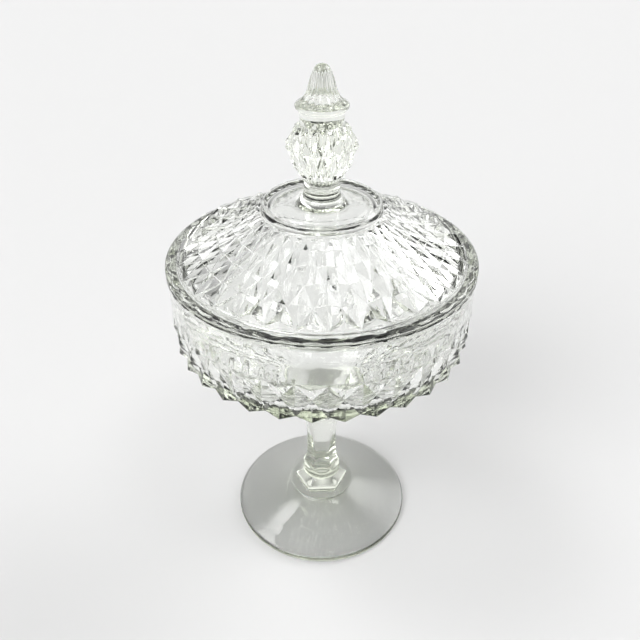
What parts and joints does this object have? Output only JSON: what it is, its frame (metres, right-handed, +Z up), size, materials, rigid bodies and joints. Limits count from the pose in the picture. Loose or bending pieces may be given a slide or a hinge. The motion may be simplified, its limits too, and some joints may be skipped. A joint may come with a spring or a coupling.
{
  "type": "covered candy dish",
  "caption": "Footed pressed-glass candy dish with diamond points all over its bowl, a faceted stem, a round foot, and a lift-off domed lid with a pointed finial.",
  "frame": {"origin": "middle of the foot's resting plane, on the axis of the dish and the lid", "axes": "+Z up along the axis, towards the finial; +X and +Y are level"},
  "size_m": [0.17, 0.17, 0.2963],
  "materials": {
    "pressed_glass": "gloss"
  },
  "bodies": {
    "dish": {"dish": "pressed_glass"},
    "lid": {"lid": "pressed_glass"}
  },
  "joints": [
    {"name": "lid_lift", "type": "slide", "parent": "dish", "child": "lid", "axis": [0, 0, 1], "range_m": [0, 0.15]}
  ]
}
